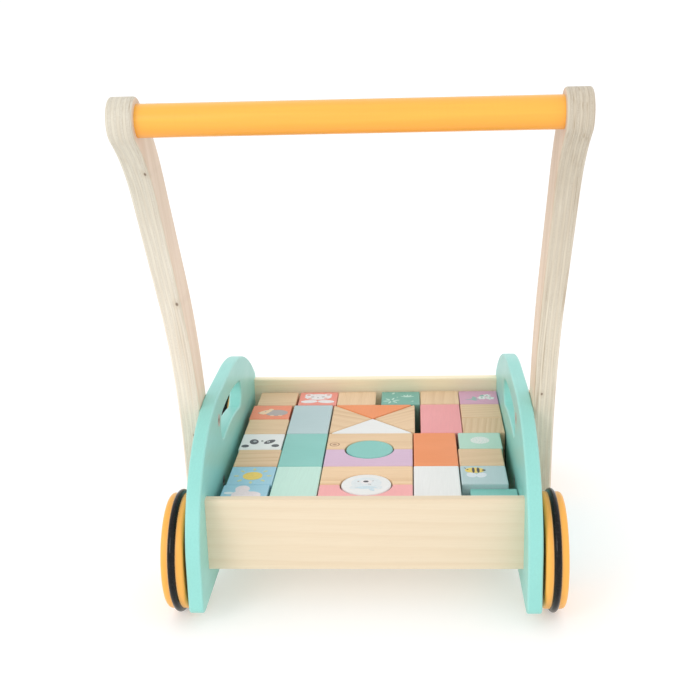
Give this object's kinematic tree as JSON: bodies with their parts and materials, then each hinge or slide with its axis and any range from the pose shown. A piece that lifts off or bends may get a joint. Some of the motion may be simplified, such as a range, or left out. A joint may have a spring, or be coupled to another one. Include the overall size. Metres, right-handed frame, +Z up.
{
  "type": "baby walker",
  "caption": "Wooden push-along baby walker: rounded side panels, curved plywood arms with a round push bar, rubber-ringed wheels and a tray of loose pastel building blocks.",
  "frame": {"origin": "middle of the whole object in plan, on the floor under the wheels", "axes": "+X across, to the right of a child who pushes it; +Y the walking direction, away from the child; +Z up"},
  "size_m": [0.32, 0.4086, 0.4235],
  "materials": {
    "pine": "sealed pine, satin",
    "plywood": "birch plywood, satin lacquer",
    "natural_wood": "sanded plain wood",
    "teal_paint": "satin aqua-teal paint on wood",
    "orange_paint": "satin orange-yellow paint on wood",
    "tyre_rubber": "smooth black rubber",
    "steel": "bright zinc plated",
    "brass": "plain",
    "coral_paint": "satin coral paint on wood",
    "green_paint": "satin green paint on wood",
    "lilac_paint": "satin lilac paint on wood",
    "orange_block_paint": "satin orange paint on wood",
    "white_paint": "satin white paint on wood",
    "blue_paint": "satin sky-blue paint on wood",
    "grey_blue_paint": "satin grey-blue paint on wood",
    "teal_block_paint": "satin teal paint on wood",
    "mint_paint": "satin mint paint on wood",
    "pink_paint": "satin pink paint on wood"
  },
  "bodies": {
    "cart": {"side_panel_left": "teal_paint", "side_panel_right": "teal_paint", "rear_board": "pine", "front_board": "pine", "floor_board": "pine", "handle_arm_left": "plywood", "handle_arm_right": "plywood", "handle_bar": "orange_paint", "arm_bolts": "steel", "arm_washers": "steel", "arm_sleeve_nuts": "steel", "board_screws": "steel", "handle_bar_screws": "steel", "axle_bolts": "steel", "axle_inserts": "brass", "wheel_spacers": "steel"},
    "rear_left_wheel": {"wheel_rear_left": "orange_paint", "tyre_rear_left": "tyre_rubber"},
    "rear_right_wheel": {"wheel_rear_right": "orange_paint", "tyre_rear_right": "tyre_rubber"},
    "front_left_wheel": {"wheel_front_left": "orange_paint", "tyre_front_left": "tyre_rubber"},
    "front_right_wheel": {"wheel_front_right": "orange_paint", "tyre_front_right": "tyre_rubber"},
    "cube_plain_front_left": {"cube_plain_front_left": "natural_wood"},
    "cube_animal_coral": {"cube_animal_coral": "coral_paint"},
    "cube_plain_front_middle": {"cube_plain_front_middle": "natural_wood"},
    "cube_leaf_green": {"cube_leaf_green": "green_paint"},
    "cube_plain_front_right": {"cube_plain_front_right": "natural_wood"},
    "cube_flower_lilac": {"cube_flower_lilac": "lilac_paint"},
    "cube_hedgehog_orange": {"cube_hedgehog_orange": "orange_block_paint"},
    "cube_plain_left_upper": {"cube_plain_left_upper": "natural_wood"},
    "cube_panda_white": {"cube_panda_white": "white_paint"},
    "cube_plain_left_lower": {"cube_plain_left_lower": "natural_wood"},
    "cube_sun_blue": {"cube_sun_blue": "blue_paint"},
    "cube_cloud_blue": {"cube_cloud_blue": "blue_paint"},
    "pillar_grey_blue": {"pillar_grey_blue": "grey_blue_paint"},
    "pillar_teal": {"pillar_teal": "teal_block_paint"},
    "pillar_mint": {"pillar_mint": "mint_paint"},
    "triangle_white": {"triangle_white": "white_paint"},
    "triangle_plain_right": {"triangle_plain_right": "natural_wood"},
    "triangle_orange": {"triangle_orange": "orange_block_paint"},
    "triangle_plain_left": {"triangle_plain_left": "natural_wood"},
    "bridge_plain_front": {"bridge_plain_front": "natural_wood"},
    "bridge_lilac": {"bridge_lilac": "lilac_paint"},
    "peg_teal": {"peg_teal": "teal_block_paint"},
    "bridge_plain_rear": {"bridge_plain_rear": "natural_wood"},
    "bridge_pink": {"bridge_pink": "pink_paint"},
    "peg_bear_white": {"peg_bear_white": "white_paint"},
    "pillar_pink": {"pillar_pink": "pink_paint"},
    "pillar_orange": {"pillar_orange": "orange_block_paint"},
    "pillar_white": {"pillar_white": "white_paint"},
    "cube_plain_right_upper": {"cube_plain_right_upper": "natural_wood"},
    "cube_plain_right_middle": {"cube_plain_right_middle": "natural_wood"},
    "cube_dots_mint": {"cube_dots_mint": "mint_paint"},
    "cube_plain_right_lower": {"cube_plain_right_lower": "natural_wood"},
    "cube_bee_grey_blue": {"cube_bee_grey_blue": "grey_blue_paint"},
    "cube_low_teal": {"cube_low_teal": "teal_block_paint"}
  },
  "joints": [
    {"name": "rear_left_wheel_spin", "type": "hinge", "parent": "cart", "child": "rear_left_wheel", "pos_m": [-0.151, -0.10265, 0.05], "axis": [1, 0, 0], "continuous": true},
    {"name": "rear_right_wheel_spin", "type": "hinge", "parent": "cart", "child": "rear_right_wheel", "pos_m": [0.151, -0.10265, 0.05], "axis": [1, 0, 0], "continuous": true},
    {"name": "front_left_wheel_spin", "type": "hinge", "parent": "cart", "child": "front_left_wheel", "pos_m": [-0.151, 0.15435, 0.05], "axis": [1, 0, 0], "continuous": true},
    {"name": "front_right_wheel_spin", "type": "hinge", "parent": "cart", "child": "front_right_wheel", "pos_m": [0.151, 0.15435, 0.05], "axis": [1, 0, 0], "continuous": true},
    {"name": "cube_plain_front_left_lift", "type": "slide", "parent": "cart", "child": "cube_plain_front_left", "axis": [0, 0, 1], "range_m": [0, 0.115]},
    {"name": "cube_animal_coral_lift", "type": "slide", "parent": "cart", "child": "cube_animal_coral", "axis": [0, 0, 1], "range_m": [0, 0.115]},
    {"name": "cube_plain_front_middle_lift", "type": "slide", "parent": "cart", "child": "cube_plain_front_middle", "axis": [0, 0, 1], "range_m": [0, 0.115]},
    {"name": "cube_leaf_green_lift", "type": "slide", "parent": "cart", "child": "cube_leaf_green", "axis": [0, 0, 1], "range_m": [0, 0.115]},
    {"name": "cube_plain_front_right_lift", "type": "slide", "parent": "cart", "child": "cube_plain_front_right", "axis": [0, 0, 1], "range_m": [0, 0.115]},
    {"name": "cube_flower_lilac_lift", "type": "slide", "parent": "cart", "child": "cube_flower_lilac", "axis": [0, 0, 1], "range_m": [0, 0.115]},
    {"name": "cube_hedgehog_orange_lift", "type": "slide", "parent": "cart", "child": "cube_hedgehog_orange", "axis": [0, 0, 1], "range_m": [0, 0.115]},
    {"name": "cube_plain_left_upper_lift", "type": "slide", "parent": "cart", "child": "cube_plain_left_upper", "axis": [0, 0, 1], "range_m": [0, 0.115]},
    {"name": "cube_panda_white_lift", "type": "slide", "parent": "cart", "child": "cube_panda_white", "axis": [0, 0, 1], "range_m": [0, 0.115]},
    {"name": "cube_plain_left_lower_lift", "type": "slide", "parent": "cart", "child": "cube_plain_left_lower", "axis": [0, 0, 1], "range_m": [0, 0.115]},
    {"name": "cube_sun_blue_lift", "type": "slide", "parent": "cart", "child": "cube_sun_blue", "axis": [0, 0, 1], "range_m": [0, 0.115]},
    {"name": "cube_cloud_blue_lift", "type": "slide", "parent": "cart", "child": "cube_cloud_blue", "axis": [0, 0, 1], "range_m": [0, 0.115]},
    {"name": "pillar_grey_blue_lift", "type": "slide", "parent": "cart", "child": "pillar_grey_blue", "axis": [0, 0, 1], "range_m": [0, 0.115]},
    {"name": "pillar_teal_lift", "type": "slide", "parent": "cart", "child": "pillar_teal", "axis": [0, 0, 1], "range_m": [0, 0.115]},
    {"name": "pillar_mint_lift", "type": "slide", "parent": "cart", "child": "pillar_mint", "axis": [0, 0, 1], "range_m": [0, 0.115]},
    {"name": "triangle_white_lift", "type": "slide", "parent": "cart", "child": "triangle_white", "axis": [0, 0, 1], "range_m": [0, 0.115]},
    {"name": "triangle_plain_right_lift", "type": "slide", "parent": "cart", "child": "triangle_plain_right", "axis": [0, 0, 1], "range_m": [0, 0.115]},
    {"name": "triangle_orange_lift", "type": "slide", "parent": "cart", "child": "triangle_orange", "axis": [0, 0, 1], "range_m": [0, 0.115]},
    {"name": "triangle_plain_left_lift", "type": "slide", "parent": "cart", "child": "triangle_plain_left", "axis": [0, 0, 1], "range_m": [0, 0.115]},
    {"name": "bridge_plain_front_lift", "type": "slide", "parent": "cart", "child": "bridge_plain_front", "axis": [0, 0, 1], "range_m": [0, 0.115]},
    {"name": "bridge_lilac_lift", "type": "slide", "parent": "cart", "child": "bridge_lilac", "axis": [0, 0, 1], "range_m": [0, 0.115]},
    {"name": "peg_teal_lift", "type": "slide", "parent": "cart", "child": "peg_teal", "axis": [0, 0, 1], "range_m": [0, 0.115]},
    {"name": "bridge_plain_rear_lift", "type": "slide", "parent": "cart", "child": "bridge_plain_rear", "axis": [0, 0, 1], "range_m": [0, 0.115]},
    {"name": "bridge_pink_lift", "type": "slide", "parent": "cart", "child": "bridge_pink", "axis": [0, 0, 1], "range_m": [0, 0.115]},
    {"name": "peg_bear_white_lift", "type": "slide", "parent": "cart", "child": "peg_bear_white", "axis": [0, 0, 1], "range_m": [0, 0.115]},
    {"name": "pillar_pink_lift", "type": "slide", "parent": "cart", "child": "pillar_pink", "axis": [0, 0, 1], "range_m": [0, 0.115]},
    {"name": "pillar_orange_lift", "type": "slide", "parent": "cart", "child": "pillar_orange", "axis": [0, 0, 1], "range_m": [0, 0.115]},
    {"name": "pillar_white_lift", "type": "slide", "parent": "cart", "child": "pillar_white", "axis": [0, 0, 1], "range_m": [0, 0.115]},
    {"name": "cube_plain_right_upper_lift", "type": "slide", "parent": "cart", "child": "cube_plain_right_upper", "axis": [0, 0, 1], "range_m": [0, 0.115]},
    {"name": "cube_plain_right_middle_lift", "type": "slide", "parent": "cart", "child": "cube_plain_right_middle", "axis": [0, 0, 1], "range_m": [0, 0.115]},
    {"name": "cube_dots_mint_lift", "type": "slide", "parent": "cart", "child": "cube_dots_mint", "axis": [0, 0, 1], "range_m": [0, 0.115]},
    {"name": "cube_plain_right_lower_lift", "type": "slide", "parent": "cart", "child": "cube_plain_right_lower", "axis": [0, 0, 1], "range_m": [0, 0.115]},
    {"name": "cube_bee_grey_blue_lift", "type": "slide", "parent": "cart", "child": "cube_bee_grey_blue", "axis": [0, 0, 1], "range_m": [0, 0.115]},
    {"name": "cube_low_teal_lift", "type": "slide", "parent": "cart", "child": "cube_low_teal", "axis": [0, 0, 1], "range_m": [0, 0.115]}
  ]
}
